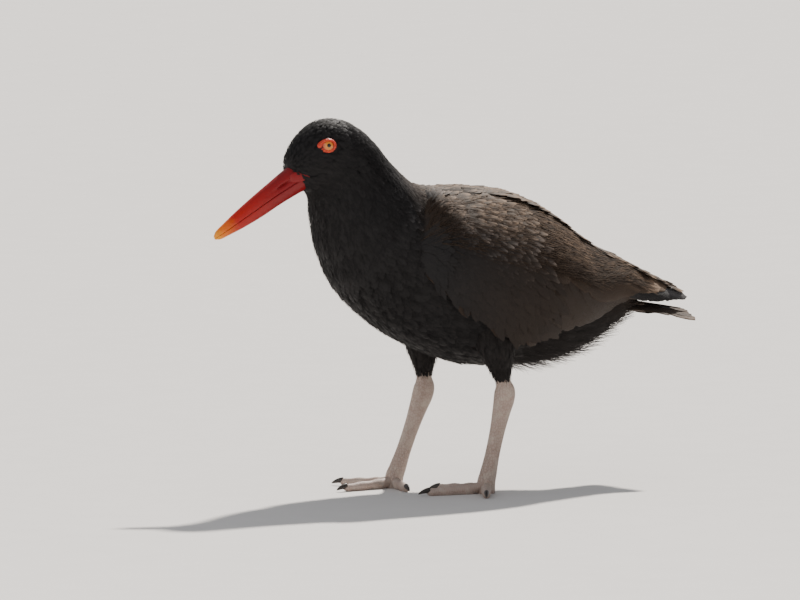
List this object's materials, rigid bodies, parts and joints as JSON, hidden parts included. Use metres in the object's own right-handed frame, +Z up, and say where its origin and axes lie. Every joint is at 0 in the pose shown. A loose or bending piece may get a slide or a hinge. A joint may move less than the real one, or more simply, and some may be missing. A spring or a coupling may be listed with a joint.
{
  "type": "oystercatcher",
  "caption": "Life-size black oystercatcher standing in mid stride, with a long red bill, folded wings, short tail and three-toed feet.",
  "frame": {"origin": "centre of the bounding box at floor level", "axes": "the bird faces -X, its left side is -Y, +Z is up"},
  "size_m": [0.3542, 0.1296, 0.2386],
  "materials": {
    "black_plumage": "matt black plumage on flesh",
    "rump_plumage": "loose matt black plumage",
    "wing_plumage": "matt dark brown flight and covert feathers",
    "tail_plumage": "matt blackish tail feathers",
    "eye": "wet yellow iris with a black pupil",
    "eyelid": "bare orange-red skin",
    "bill_horn": "smooth red horn",
    "leg_skin": "dull pinkish grey scaly skin",
    "claw_horn": "black horn"
  },
  "bodies": {
    "root": {"bill_lower": "bill_horn", "bill_upper": "bill_horn", "claw_left_inner": "claw_horn", "claw_left_middle": "claw_horn", "claw_left_outer": "claw_horn", "claw_right_inner": "claw_horn", "claw_right_middle": "claw_horn", "claw_right_outer": "claw_horn", "eye_left": "eye", "eye_right": "eye", "eyelid_left": "eyelid", "eyelid_right": "eyelid", "head": "black_plumage", "neck": "black_plumage", "rump": "rump_plumage", "tail": "tail_plumage", "tarsus_left": "leg_skin", "tarsus_right": "leg_skin", "thigh_left": "black_plumage", "thigh_right": "black_plumage", "toe_left_inner": "leg_skin", "toe_left_middle": "leg_skin", "toe_left_outer": "leg_skin", "toe_right_inner": "leg_skin", "toe_right_middle": "leg_skin", "toe_right_outer": "leg_skin", "torso": "black_plumage", "wing_left": "wing_plumage", "wing_right": "wing_plumage"}
  },
  "joints": []
}
